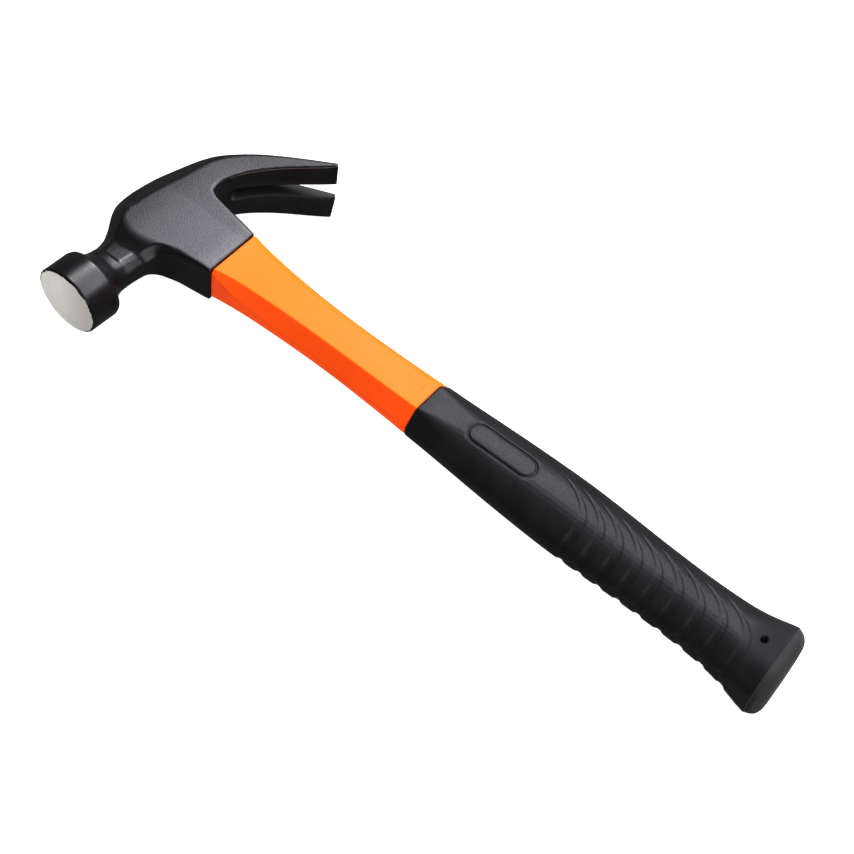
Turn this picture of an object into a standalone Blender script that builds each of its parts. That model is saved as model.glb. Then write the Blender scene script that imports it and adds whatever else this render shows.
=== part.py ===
"""Claw hammer with a fibreglass core, an orange plastic jacket and a black rubber grip.

The hammer lies on its side. +X runs down the handle to the butt, +Y points to the claws,
-Y is the way the face strikes, and +Z is square to the cheeks. Lengths below are in
millimetres and become metres through MM. Side views are drawn with the poll's axis at
x = 0; the finished parts are then set so that the origin is under the middle of the box.
"""

import math

import bmesh
import bpy
from mathutils import Matrix, Vector

MM = 0.001
FIT_GAP = 0.3  # clearance left between neighbouring pieces
OVERSHOOT = 5.0  # how far a cutter runs past the surface it opens
ROUND_STEPS = 8  # straight steps in a half circle

# Head
BELL_RADIUS = 15.0
FACE_RADIUS = 14.1
FACE_Y = -58.2
FACE_CHAMFER = 0.9  # length of the chamfer round the striking face
BELL_BACK_Y = -44.6
POLL_END_Y = -35.0
POLL_TURNS = 48
CHEEK_HALF = 10.0
NECK_HALF = 8.3
CLAW_HALF = 17.4
CHEEK_END_Y = -19.5
NECK_START_Y = -24.0
FLARE_START_Y = 6.0
FLARE_POWER = 1.15  # above 1, the flare opens faster towards the tips
CLAW_TIP_Y = 58.7
CLAW_STATIONS = (15.0, 24.0, 33.0, 42.0, 50.0)  # where the flare changes angle
PLATE_HALF = 12.5
MOUTH_X = 34.0

# Nail slot between the claws
SLOT_ROOT = (9.0, 28.5)
SLOT_TIP = (40.0, 60.5)
SLOT_ROOT_WIDTH = 5.6
SLOT_TIP_WIDTH = 8.6
SLOT_CUT_BACK = 14.0  # the slot cutter starts this far under the slot's middle line
SLOT_CUT_DEPTH = 34.0

# Eye of the head, and what fills it
EYE_HALF_Y = 9.5
EYE_HALF_Z = 6.6
EYE_TOP_HALF_Y = 8.0
EYE_TOP_HALF_Z = 3.4
EYE_SHOULDER_X = -8.0
EYE_TAPER = 5.0  # length over which the eye narrows towards the crown
EYE_CUT_START_X = -30.0
EYE_RADIUS = 3.0
SPIGOT_LENGTH = 8.0
EPOXY_TOP_X = -16.6

# Handle
ROD_RADIUS = 4.5
ROD_START_X = -5.0
ROD_END_X = 276.0
ROD_SIDES = 32
GRIP_START_X = 133.5
JACKET_END_X = 284.0
TAIL_SECTION = (9.6, 7.0, 5.4, 1.6, 1.0)
BUTT_X = 301.1

# Grip details
PANEL_MIDDLE_X = 170.3
PANEL_LENGTH = 29.0
PANEL_WIDTH = 8.8
PANEL_GROOVE = 0.45
PANEL_MIDDLE_Z = 11.35
PANEL_SLOPE = 0.037
HOLE_X = 287.8
HOLE_RADIUS = 1.3
HOLE_DEPTH = 5.0
HOLE_MOUTH_Z = 13.9
HOLE_SIDES = 20
NOTCH_START_X = 204.0
NOTCH_END_X = 284.5
NOTCH_COUNT = 9
NOTCH_DEPTH = 0.8
NOTCH_BACK_SHARE = 0.25  # depth at the back edge, as a share of the front's
NOTCH_SHARPNESS = 4  # a higher power makes each notch narrower
NOTCH_FADE = 12.0  # width over which the notches fade from front to back

# Sections
CORNER_POINTS = 4
BOX_CORNER = 0.6  # chamfer leg of a rounded rectangle, as a share of its radius
JACKET_STEPS = 3
GRIP_STEPS = 12
NOTCH_SPACING = 1.3
PLAIN_SPACING = 3.2
END_SECTIONS = 5

# Outline of the head from the side: x, y and the width of the bevel along the edge there.
# Each stretch is smooth, and neighbouring stretches meet in a corner.
CROWN_FRONT = [
    (-7.9, -47.0, 4.6),
    (-8.0, -36.0, 4.6),
    (-8.8, -29.0, 4.6),
    (-11.8, -23.6, 5.0),
    (-14.9, -18.4, 5.4),
    (-17.6, -12.6, 6.0),
]
CROWN = [
    (-18.1, -10.6, 6.4),
    (-18.1, -2.0, 7.2),
    (-16.4, 8.0, 7.6),
    (-13.3, 17.0, 7.2),
    (-8.7, 25.2, 5.6),
    (-3.0, 31.4, 3.4),
    (5.0, 38.0, 1.6),
    (12.8, 43.8, 1.0),
    (23.3, 50.7, 0.8),
    (36.6, 58.7, 0.4),
]
CLAW_UNDERSIDE = [
    (38.0, 57.3, 0.4),
    (32.6, 51.9, 0.6),
    (21.2, 41.3, 0.7),
    (13.5, 32.4, 0.8),
    (9.2, 25.1, 0.8),
    (7.5, 20.0, 0.8),
    (8.0, 16.8, 0.8),
    (10.8, 15.1, 0.8),
    (14.0, 14.5, 0.8),
    (25.0, 12.9, 0.8),
    (33.2, 12.1, 0.6),
]
SOCKET_FRONT = [
    (MOUTH_X, 11.3, 0.6),
    (MOUTH_X, -13.7, 0.8),
    (33.2, -14.5, 0.8),
    (25.0, -15.3, 1.0),
    (18.5, -16.5, 1.6),
    (13.8, -19.5, 2.6),
    (11.5, -22.9, 3.8),
    (10.1, -28.0, 4.3),
    (9.4, -36.0, 4.6),
    (9.3, -47.0, 4.6),
]

# Jacket and grip sections: x, half width, half thickness, half width of the flat side,
# half height of the narrow edge, and the radius that rounds the corners between them.
JACKET_SECTIONS = [
    (34.3, 12.8, 8.6, 11.4, 7.2, 1.0),
    (38.0, 12.9, 8.4, 10.2, 6.0, 1.0),
    (44.0, 13.1, 8.2, 9.0, 4.2, 1.2),
    (52.0, 13.1, 8.1, 8.3, 2.6, 1.2),
    (62.0, 12.8, 8.1, 7.6, 1.8, 1.2),
    (75.0, 12.3, 8.1, 7.1, 1.5, 1.2),
    (92.0, 12.0, 8.1, 6.9, 1.4, 1.2),
    (110.0, 12.3, 8.2, 6.9, 1.4, 1.2),
    (133.2, 13.0, 8.6, 6.9, 1.6, 1.2),
]
GRIP_SECTIONS = [
    (133.5, 12.9, 9.0, 7.1, 1.8, 1.4),
    (134.4, 13.2, 9.3, 7.1, 1.9, 1.6),
    (138.0, 13.4, 9.6, 7.2, 2.0, 2.6),
    (142.0, 13.5, 9.8, 7.2, 2.2, 4.0),
    (152.0, 13.9, 10.4, 7.3, 2.7, 6.2),
    (164.0, 14.4, 11.1, 7.5, 3.3, 8.0),
    (180.0, 15.0, 11.7, 7.6, 4.0, 9.5),
    (200.0, 15.5, 12.0, 7.4, 4.5, 9.8),
    (218.0, 15.2, 11.8, 7.2, 4.5, 9.8),
    (236.0, 14.4, 11.6, 7.0, 4.5, 9.6),
    (255.0, 13.9, 11.7, 6.9, 4.6, 9.4),
    (268.0, 14.0, 12.1, 7.1, 4.9, 9.4),
    (278.0, 14.6, 12.8, 7.6, 5.3, 9.4),
    (286.0, 15.9, 13.7, 8.6, 6.0, 9.2),
    (292.0, 17.1, 14.6, 9.8, 6.6, 9.0),
    (295.4, 17.5, 15.1, 10.4, 7.0, 9.0),
    (296.2, 17.3, 14.9, 10.3, 6.9, 8.9),
    (298.4, 16.6, 13.9, 9.6, 6.4, 8.0),
    (300.0, 15.3, 12.1, 8.8, 5.6, 6.6),
    (300.9, 13.4, 9.9, 7.8, 4.6, 5.2),
    (BUTT_X, 12.0, 8.4, 7.2, 4.0, 4.4),
]

# Behind the bell: radius and y of the turned flare that runs into the neck.
POLL_FLARE = [(10.6, -41.2), (9.2, -38.0), (8.2, POLL_END_Y)]
BELL_BACK_ROUND = [(0.5, 0.4), (2.0, 1.6)]  # drop from the bell's radius, and y past its back

PARTS = "claw_hammer"
CUTTERS = "cutters"


def clear_scene():
    for thing in list(bpy.data.objects):
        bpy.data.objects.remove(thing, do_unlink=True)


def new_collection(name):
    collection = bpy.data.collections.new(name)
    bpy.context.scene.collection.children.link(collection)
    return collection


def material(name, colour, roughness, metallic=0.0):
    made = bpy.data.materials.new(name)
    made.use_nodes = True
    shader = made.node_tree.nodes["Principled BSDF"]
    shader.inputs["Base Color"].default_value = (*colour, 1.0)
    shader.inputs["Roughness"].default_value = roughness
    shader.inputs["Metallic"].default_value = metallic
    made.diffuse_color = (*colour, 1.0)
    return made


def add_object(name, mesh, collection):
    thing = bpy.data.objects.new(name, mesh)
    bpy.data.collections[collection].objects.link(thing)
    return thing


def mesh_from(name, work):
    """A mesh datablock in metres from a bmesh drawn in millimetres."""
    bmesh.ops.recalc_face_normals(work, faces=work.faces)
    mesh = bpy.data.meshes.new(name)
    work.to_mesh(mesh)
    work.free()
    mesh.transform(Matrix.Scale(MM, 4))
    return mesh


def boolean(thing, cutter, operation="DIFFERENCE"):
    modifier = thing.modifiers.new(cutter.name, "BOOLEAN")
    modifier.operation = operation
    modifier.object = cutter
    modifier.solver = "EXACT"
    cutter.hide_render = True
    cutter.display_type = "WIRE"


def smooth_shading(thing, angle=30):
    thing.data.shade_smooth()
    thing.data.set_sharp_from_angle(angle=math.radians(angle))


def spline(knots, steps):
    """Catmull-Rom points through the knots, whatever each knot holds."""
    padded = [knots[0], *knots, knots[-1]]
    points = []
    for p0, p1, p2, p3 in zip(padded, padded[1:], padded[2:], padded[3:]):
        for step in range(steps):
            t = step / steps
            points.append(
                tuple(
                    0.5
                    * (
                        2 * b
                        + (c - a) * t
                        + (2 * a - 5 * b + 4 * c - d) * t**2
                        + (3 * b - a - 3 * c + d) * t**3
                    )
                    for a, b, c, d in zip(p0, p1, p2, p3)
                )
            )
    points.append(tuple(knots[-1]))
    return points


def half_thickness(y):
    """Half the head's thickness at y: neck, then cheeks, then the flare of the claws."""
    if y < CHEEK_END_Y:
        t = min((CHEEK_END_Y - y) / (CHEEK_END_Y - NECK_START_Y), 1.0)
        return CHEEK_HALF + (NECK_HALF - CHEEK_HALF) * t
    if y < FLARE_START_Y:
        return CHEEK_HALF
    t = min((y - FLARE_START_Y) / (CLAW_TIP_Y - FLARE_START_Y), 1.0)
    return CHEEK_HALF + (CLAW_HALF - CHEEK_HALF) * t**FLARE_POWER


def forged_body():
    """The side outline as a thick plate, bevelled along its edges and flared to the claws."""
    outline = (
        spline(CROWN_FRONT, 2)
        + spline(CROWN, 2)
        + spline(CLAW_UNDERSIDE, 3)
        + SOCKET_FRONT[:1]
        + spline(SOCKET_FRONT[1:], 2)
    )
    work = bmesh.new()
    width_at = work.verts.layers.float.new("bevel_width")
    bottom = [work.verts.new((x, y, -PLATE_HALF)) for x, y, _ in outline]
    for vert, (_, _, bevel) in zip(bottom, outline):
        vert[width_at] = bevel
    base = work.faces.new(bottom)
    extruded = bmesh.ops.extrude_face_region(work, geom=[base])["geom"]
    top = [v for v in extruded if isinstance(v, bmesh.types.BMVert)]
    bmesh.ops.translate(work, verts=top, vec=(0, 0, 2 * PLATE_HALF))
    bmesh.ops.recalc_face_normals(work, faces=work.faces)
    widest = max(bevel for _, _, bevel in outline)
    weight = work.edges.layers.float.new("bevel_weight_edge")
    for edge in work.edges:
        first, second = edge.verts
        level = first.co.z == second.co.z
        edge[weight] = (first[width_at] + second[width_at]) / 2 / widest if level else 0.0
    mesh = bpy.data.meshes.new("forged_body")
    work.to_mesh(mesh)
    work.free()
    plate = bpy.data.objects.new("forged_body", mesh)
    bpy.context.scene.collection.objects.link(plate)
    bevel = plate.modifiers.new("edge bevel", "BEVEL")
    bevel.limit_method = "WEIGHT"
    bevel.width = widest
    bevel.segments = 1
    bevel.use_clamp_overlap = False
    graph = bpy.context.evaluated_depsgraph_get()
    bevelled = bpy.data.meshes.new_from_object(plate.evaluated_get(graph))
    bpy.data.objects.remove(plate)
    work = bmesh.new()
    work.from_mesh(bevelled)
    for y in (NECK_START_Y, CHEEK_END_Y, FLARE_START_Y, *CLAW_STATIONS):
        everything = work.verts[:] + work.edges[:] + work.faces[:]
        bmesh.ops.bisect_plane(
            work, geom=everything, plane_co=(0, y, 0), plane_no=(0, 1, 0)
        )
    for vert in work.verts:
        vert.co.z *= half_thickness(vert.co.y) / PLATE_HALF
    bmesh.ops.triangulate(work, faces=work.faces)
    return mesh_from("hammer_head", work)


def poll():
    """The bell and the flare behind it, turned about the poll's axis along Y."""
    profile = [
        (0.0, FACE_Y),
        (FACE_RADIUS, FACE_Y),
        (BELL_RADIUS, FACE_Y + FACE_CHAMFER),
        (BELL_RADIUS, BELL_BACK_Y - FACE_CHAMFER),
    ]
    profile += [(BELL_RADIUS - drop, BELL_BACK_Y + past) for drop, past in BELL_BACK_ROUND]
    profile += [*POLL_FLARE, (0.0, POLL_END_Y)]
    work = bmesh.new()
    verts = [work.verts.new((radius, y, 0)) for radius, y in profile]
    for first, second in zip(verts, verts[1:]):
        work.edges.new((first, second))
    mesh = bpy.data.meshes.new("poll")
    work.to_mesh(mesh)
    work.free()
    mesh.transform(Matrix.Scale(MM, 4))
    turned = add_object("poll", mesh, CUTTERS)
    screw = turned.modifiers.new("turn", "SCREW")
    screw.axis = "Y"
    screw.steps = POLL_TURNS
    screw.render_steps = POLL_TURNS
    screw.use_merge_vertices = True
    screw.merge_threshold = 0.01 * MM
    screw.use_normal_calculate = True
    return turned


def slot_cutter():
    """A wedge with a rounded root that opens the nail slot towards the tips of the claws."""
    root = Vector((*SLOT_ROOT, 0))
    along = (Vector((*SLOT_TIP, 0)) - root).normalized()
    length = (Vector((*SLOT_TIP, 0)) - root).length
    through = Vector((-along.y, along.x, 0))
    radius = SLOT_ROOT_WIDTH / 2
    outline = [(length, -SLOT_TIP_WIDTH / 2)]
    for step in range(ROUND_STEPS + 1):
        turn = math.pi * (1.5 - step / ROUND_STEPS)
        outline.append((radius * math.cos(turn), radius * math.sin(turn)))
    outline.append((length, SLOT_TIP_WIDTH / 2))
    work = bmesh.new()
    below = root - through * SLOT_CUT_BACK
    corners = [work.verts.new(below + along * s + Vector((0, 0, z))) for s, z in outline]
    base = work.faces.new(corners)
    extruded = bmesh.ops.extrude_face_region(work, geom=[base])["geom"]
    moved = [v for v in extruded if isinstance(v, bmesh.types.BMVert)]
    bmesh.ops.translate(work, verts=moved, vec=through * SLOT_CUT_DEPTH)
    return add_object("nail_slot", mesh_from("nail_slot", work), CUTTERS)


def ring(x, half_y, half_z, flat, nose, radius):
    """An eight-sided section across the handle at x, with every corner rounded."""
    quarter = [(half_y, nose), (flat, half_z)]
    half = quarter + [(-y, z) for y, z in reversed(quarter)]
    corners = [Vector(corner) for corner in half + [(-y, -z) for y, z in half]]
    points = []
    for i, corner in enumerate(corners):
        arriving = (corner - corners[i - 1]).normalized()
        leaving = (corners[(i + 1) % len(corners)] - corner).normalized()
        turn = math.acos(arriving.dot(leaving))
        start = corner - arriving * radius * math.tan(turn / 2)
        inward = Vector((-arriving.y, arriving.x))
        for step in range(CORNER_POINTS):
            angle = turn * step / (CORNER_POINTS - 1)
            spoke = Matrix.Rotation(angle, 2) @ -inward
            point = start + inward * radius + spoke * radius
            points.append((x, point.x, point.y))
    return points


def box_ring(x, half_y, half_z, radius):
    """A rounded rectangle across the handle, with as many points as the other rings."""
    leg = BOX_CORNER * radius
    return ring(x, half_y, half_z, half_y - leg, half_z - leg, radius)


def grown(section, gap):
    """The same section with its sides moved out by gap."""
    half_y, half_z, flat, nose, radius = section
    return (half_y + gap, half_z + gap, flat + gap / 2, nose + gap / 2, radius + gap)


def loft(name, rings):
    """A closed solid through rings that hold the same number of points."""
    work = bmesh.new()
    rows = [[work.verts.new(point) for point in points] for points in rings]
    for near, far in zip(rows, rows[1:]):
        for i in range(len(near)):
            j = (i + 1) % len(near)
            work.faces.new((near[i], near[j], far[j], far[i]))
    work.faces.new(rows[0])
    work.faces.new(reversed(rows[-1]))
    return mesh_from(name, work)


def eye_rings(gap, start_x, end_x):
    """Rings of the eye's shape, drawn in by gap: wide at the mouth, narrow at the crown."""
    wide = (EYE_HALF_Y - gap, EYE_HALF_Z - gap, EYE_RADIUS - gap)
    narrow = (EYE_TOP_HALF_Y - gap, EYE_TOP_HALF_Z - gap, EYE_RADIUS - gap)
    return [
        box_ring(start_x, *narrow),
        box_ring(EYE_SHOULDER_X - EYE_TAPER, *narrow),
        box_ring(EYE_SHOULDER_X, *wide),
        box_ring(end_x, *wide),
    ]


def cylinder(name, radius, start, end, collection, sides=ROD_SIDES):
    """A round bar between two points."""
    axis = Vector(end) - Vector(start)
    work = bmesh.new()
    bmesh.ops.create_cone(
        work,
        cap_ends=True,
        segments=sides,
        radius1=radius,
        radius2=radius,
        depth=axis.length,
    )
    turn = axis.to_track_quat("Z", "Y").to_matrix().to_4x4()
    middle = (Vector(start) + Vector(end)) / 2
    bmesh.ops.transform(work, matrix=Matrix.Translation(middle) @ turn, verts=work.verts)
    return add_object(name, mesh_from(name, work), collection)


def hammer_head():
    head = add_object("hammer_head", forged_body(), PARTS)
    boolean(head, poll(), "UNION")
    eye = loft("eye", eye_rings(0.0, EYE_CUT_START_X, MOUTH_X + OVERSHOOT))
    boolean(head, add_object("eye", eye, CUTTERS))
    boolean(head, slot_cutter())
    head.data.materials.append(material("black_lacquer", (0.02, 0.02, 0.022), 0.35))
    smooth_shading(head)
    return head


def core_rod():
    rod = cylinder(
        "core_rod",
        ROD_RADIUS,
        (ROD_START_X, 0, 0),
        (ROD_END_X, 0, 0),
        PARTS,
    )
    rod.data.materials.append(material("fibreglass", (0.75, 0.72, 0.55), 0.5))
    smooth_shading(rod)
    return rod


def eye_epoxy():
    """The bond in the eye, with a blind bore for the rod."""
    end_x = MOUTH_X - SPIGOT_LENGTH
    plug = add_object(
        "eye_epoxy", loft("eye_epoxy", eye_rings(FIT_GAP, EPOXY_TOP_X, end_x)), PARTS
    )
    bore = cylinder(
        "epoxy_bore",
        ROD_RADIUS + FIT_GAP,
        (ROD_START_X - FIT_GAP, 0, 0),
        (end_x + OVERSHOOT, 0, 0),
        CUTTERS,
    )
    boolean(plug, bore)
    plug.data.materials.append(material("epoxy", (0.42, 0.3, 0.14), 0.4))
    smooth_shading(plug)
    return plug


def handle_jacket():
    """Spigot in the mouth, flared shoulder, flat-sided shaft, and a tail under the grip."""
    spigot = (EYE_HALF_Y - FIT_GAP, EYE_HALF_Z - FIT_GAP, EYE_RADIUS - FIT_GAP)
    spigot_start = MOUTH_X - SPIGOT_LENGTH + FIT_GAP
    shoulder_x = JACKET_SECTIONS[0][0]
    rings = [box_ring(spigot_start, *spigot), box_ring(shoulder_x, *spigot)]
    rings += [ring(*section) for section in spline(JACKET_SECTIONS, JACKET_STEPS)]
    rings += [ring(x, *TAIL_SECTION) for x in (GRIP_START_X - FIT_GAP, JACKET_END_X)]
    jacket = add_object("handle_jacket", loft("handle_jacket", rings), PARTS)
    bore = cylinder(
        "jacket_bore",
        ROD_RADIUS + FIT_GAP,
        (0, 0, 0),
        (ROD_END_X + FIT_GAP, 0, 0),
        CUTTERS,
    )
    boolean(jacket, bore)
    jacket.data.materials.append(material("orange_plastic", (0.95, 0.3, 0.03), 0.4))
    smooth_shading(jacket)
    return jacket


def notch_depth(x, y):
    """How far the finger notches draw the grip in: full at the front, faint at the back."""
    if not NOTCH_START_X < x < NOTCH_END_X:
        return 0.0
    pitch = (NOTCH_END_X - NOTCH_START_X) / NOTCH_COUNT
    hollow = math.sin(math.pi * (x - NOTCH_START_X) / pitch) ** NOTCH_SHARPNESS
    front = min(max(0.5 - y / NOTCH_FADE, NOTCH_BACK_SHARE), 1.0)
    return NOTCH_DEPTH * hollow * front


def grip_ring(x, *section):
    points = []
    for _, y, z in ring(x, *section):
        away = Vector((0, y, z))
        drawn_in = away - away.normalized() * notch_depth(x, y)
        points.append((x, drawn_in.y, drawn_in.z))
    return points


def panel_cutter(side):
    """The groove round the blank panel: a stadium-shaped tube laid in the grip's flank."""
    reach = (PANEL_LENGTH - PANEL_WIDTH) / 2
    radius = PANEL_WIDTH / 2
    points = []
    for end, first in ((1, -0.5), (-1, 0.5)):
        for step in range(ROUND_STEPS + 1):
            turn = math.pi * (first + step / ROUND_STEPS)
            points.append((end * reach + radius * math.cos(turn), radius * math.sin(turn)))
    curve = bpy.data.curves.new("panel_groove", "CURVE")
    curve.dimensions = "3D"
    curve.bevel_depth = PANEL_GROOVE
    curve.bevel_resolution = 2
    track = curve.splines.new("POLY")
    track.points.add(len(points) - 1)
    for point, (along, across) in zip(track.points, points):
        height = PANEL_MIDDLE_Z + along * PANEL_SLOPE
        point.co = (PANEL_MIDDLE_X + along, across, side * height, 1)
    track.use_cyclic_u = True
    tube = bpy.data.objects.new("panel_groove", curve)
    bpy.context.scene.collection.objects.link(tube)
    graph = bpy.context.evaluated_depsgraph_get()
    mesh = bpy.data.meshes.new_from_object(tube.evaluated_get(graph))
    bpy.data.objects.remove(tube)
    work = bmesh.new()
    work.from_mesh(mesh)
    bmesh.ops.remove_doubles(work, verts=work.verts, dist=MM)
    return add_object("panel_groove", mesh_from("panel_groove", work), CUTTERS)


def grip_stations():
    """Sections close together along the notches, and wider apart on the plain lengths."""
    smooth = spline(GRIP_SECTIONS[:-END_SECTIONS], GRIP_STEPS)
    kept = [smooth[0]]
    for section in smooth[1:-1]:
        notched = NOTCH_START_X < section[0] < NOTCH_END_X
        spacing = NOTCH_SPACING if notched else PLAIN_SPACING
        room = section[0] - kept[-1][0]
        if room > spacing and smooth[-1][0] - section[0] > spacing:
            kept.append(section)
    return [*kept, smooth[-1], *GRIP_SECTIONS[-END_SECTIONS:]]


def rubber_grip():
    rings = [grip_ring(*section) for section in grip_stations()]
    grip = add_object("rubber_grip", loft("rubber_grip", rings), PARTS)
    cavity = grown(TAIL_SECTION, FIT_GAP)
    ends = (GRIP_START_X - OVERSHOOT, JACKET_END_X + FIT_GAP)
    bore = loft("grip_bore", [ring(x, *cavity) for x in ends])
    boolean(grip, add_object("grip_bore", bore, CUTTERS))
    for side in (1, -1):
        boolean(grip, panel_cutter(side))
    hole = cylinder(
        "locating_hole",
        HOLE_RADIUS,
        (HOLE_X, 0, HOLE_MOUTH_Z - HOLE_DEPTH),
        (HOLE_X, 0, HOLE_MOUTH_Z + OVERSHOOT),
        CUTTERS,
        sides=HOLE_SIDES,
    )
    boolean(grip, hole)
    grip.data.materials.append(material("black_rubber", (0.025, 0.025, 0.027), 0.55))
    smooth_shading(grip)
    return grip


def set_down(parts):
    """Move everything so that the origin is under the middle of the whole box."""
    bpy.context.view_layer.update()
    graph = bpy.context.evaluated_depsgraph_get()
    corners = [
        part.matrix_world @ Vector(corner)
        for part in parts
        for corner in part.evaluated_get(graph).bound_box
    ]
    low = Vector([min(corner[axis] for corner in corners) for axis in range(3)])
    high = Vector([max(corner[axis] for corner in corners) for axis in range(3)])
    middle = (low + high) / 2
    shift = Vector((middle.x, middle.y, low.z))
    for thing in bpy.data.objects:
        thing.location -= shift


def main():
    clear_scene()
    new_collection(PARTS)
    new_collection(CUTTERS)
    parts = [hammer_head(), core_rod(), eye_epoxy(), handle_jacket(), rubber_grip()]
    set_down(parts)
    for cutter in bpy.data.collections[CUTTERS].objects:
        cutter.hide_render = True
        cutter.display_type = "WIRE"


main()
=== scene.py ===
"""Claw hammer with an orange jacketed handle and a ridged rubber grip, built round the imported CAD.

Shapes are drawn in millimetres in the hammer's own drawing frame: the poll's axis is x = 0,
the plane through the handle and the claws is z = 0, +X runs to the butt and -Y is the way
the face strikes. placed() sets them into the row frame, from where the CAD rod lies.
"""

import math

import bpy
import numpy as np
from mathutils import Matrix, Vector


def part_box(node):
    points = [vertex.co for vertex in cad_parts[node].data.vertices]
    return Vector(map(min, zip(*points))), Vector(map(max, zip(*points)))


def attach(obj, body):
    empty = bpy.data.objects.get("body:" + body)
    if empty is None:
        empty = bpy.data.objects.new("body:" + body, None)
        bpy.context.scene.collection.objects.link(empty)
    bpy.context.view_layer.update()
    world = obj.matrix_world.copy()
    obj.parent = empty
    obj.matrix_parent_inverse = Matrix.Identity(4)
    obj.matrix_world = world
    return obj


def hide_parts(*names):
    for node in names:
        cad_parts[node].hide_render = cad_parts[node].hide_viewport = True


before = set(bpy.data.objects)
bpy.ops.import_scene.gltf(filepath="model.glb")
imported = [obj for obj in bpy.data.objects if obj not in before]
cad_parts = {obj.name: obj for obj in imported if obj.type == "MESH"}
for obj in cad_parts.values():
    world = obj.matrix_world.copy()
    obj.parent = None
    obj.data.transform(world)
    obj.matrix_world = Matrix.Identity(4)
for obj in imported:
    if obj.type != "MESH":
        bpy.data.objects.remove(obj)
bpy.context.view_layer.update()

MM = 0.001

# Where the drawing frame's origin lies in the row frame.
ROD_START_X = -5.0
rod_low, rod_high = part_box("core_rod")
ORIGIN = np.array(
    [
        rod_low.x - ROD_START_X * MM,
        (rod_low.y + rod_high.y) / 2,
        (rod_low.z + rod_high.z) / 2,
    ]
)

# Head: side outline as x, y and the width of the bevel there
CROWN = [
    (-8.4, -50.0, 4.6),
    (-8.6, -36.0, 4.6),
    (-9.5, -29.0, 4.9),
    (-12.2, -23.6, 5.4),
    (-15.4, -18.4, 6.6),
    (-17.8, -13.4, 7.8),
    (-18.0, -9.6, 8.4),
    (-18.0, -2.0, 9.0),
    (-16.4, 8.0, 9.2),
    (-12.7, 17.0, 8.3),
    (-8.1, 25.2, 5.9),
    (-3.0, 31.4, 3.8),
    (5.0, 38.0, 1.7),
    (12.8, 43.8, 1.0),
    (23.3, 50.7, 0.8),
    (36.6, 58.7, 0.6),
]
UNDERSIDE = [
    (38.0, 57.3, 0.5),
    (32.6, 51.9, 0.6),
    (21.2, 41.3, 0.7),
    (13.5, 32.4, 0.8),
    (9.2, 25.1, 0.8),
    (7.5, 20.0, 0.8),
    (8.0, 16.8, 0.8),
    (10.8, 15.1, 0.8),
    (14.0, 14.5, 0.8),
    (25.0, 12.9, 0.8),
    (34.0, 11.6, 0.6),
]
SOCKET = [
    (34.0, -14.0, 0.8),
    (25.0, -15.3, 1.0),
    (18.5, -16.9, 1.9),
    (13.9, -19.9, 3.2),
    (12.0, -23.5, 4.0),
    (10.9, -28.0, 4.3),
    (10.2, -36.0, 4.6),
    (10.2, -50.0, 4.8),
]
EDGE_ROUND = 0.5
CHEEK_HALF = 10.0
NECK_HALF = 7.3
NEAR_CLAW_HALF = 15.7
FAR_CLAW_HALF = 17.2
CHEEK_END_Y = -19.3
CHEEK_END_CURVE = 0.034
CHEEK_CORNER_X = 6.0
CHEEK_CORNER_SLOPE = 0.25
CHEEK_CORNER_LENGTH = 8.0
MOUTH_TAPER_X = 25.0
MOUTH_TAPER_END_Y = 22.0
MOUTH_TAPER_FADE = 6.0
MOUTH_TAPER = 0.005
CROWN_TAPER_X = 2.0
CROWN_TAPER = 0.0018
NECK_SLOPE = 9.5  # length of the slope between the neck and the cheeks
BEVEL_DROP = 0.62  # depth of the edge bevel over its width, on the cheeks and claws
NECK_BEVEL_DROP = 0.3  # what the neck adds to that
NECK_BEVEL_Y = -16.0
NECK_ROUND_Y = -18.0
NECK_BLEND = 8.0  # length over which the edges change from the cheeks' to the neck's
FLARE_START_Y = 6.0
FLARE_LIMIT = 1.1  # where the flare stops growing, as a share of the way to the tips
NEAR_FLARE_POWER = 1.15
FAR_FLARE_POWER = 0.85
CLAW_TIP_Y = 58.7
CLAW_TIP_REACH = 67.4
NEAR_TIP_RAKE = 0.01
FAR_TIP_RAKE = 0.1

# Poll: radius and y, turned about the y axis
FACE_Y = -58.2
FACE_RADIUS = 14.1
FACE_DOME = 0.3
BELL_RADIUS = 14.9
POLL_ROUND = 0.5
POLL_FILLET = 2.0
BELL_LENGTH = 13.0
BELL_LEAN = 0.7  # how far the back of the bell is forged towards the handle
BELL_LEAN_FADE = 8.0
POLL_PROFILE = [
    (-6.0, FACE_Y),
    (FACE_RADIUS, FACE_Y),
    (BELL_RADIUS, FACE_Y + 0.9),
    (BELL_RADIUS, -45.6),
    (14.4, -44.2),
    (12.8, -43.1),
    (10.8, -41.4),
    (9.4, -38.4),
    (8.4, -35.0),
    (-6.0, -35.0),
]

# Nail slot and eye
SLOT_ROOT = (9.0, 28.5)
SLOT_TIP = (40.0, 60.5)
SLOT_ROOT_HALF = 2.8
SLOT_TIP_HALF = 4.0
SLOT_REACH = 10.0
SLOT_BEVEL = 0.3  # widening of the slot towards the underside, each side
SLOT_BEVEL_REACH = 6.0
SLOT_ROUND = 0.7
EYE_STATIONS = [(-30.0, 7.85, 3.25), (-13.0, 7.85, 3.25), (-8.0, 9.5, 6.6), (45.0, 9.5, 6.6)]
EYE_RADIUS = 3.0

# Epoxy in the eye
EPOXY_GAP = 0.1
EPOXY_SINK = 0.4
EPOXY_END_X = 26.0
EPOXY_ROUND = 0.3
ROD_HOLE_RADIUS = 4.7
ROD_HOLE_START_X = -5.3
ROD_HOLE_ROUND = 0.2
EPOXY_LOW = (-19.0, -11.0, -8.0)
EPOXY_HIGH = (27.0, 11.0, 8.0)

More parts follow.
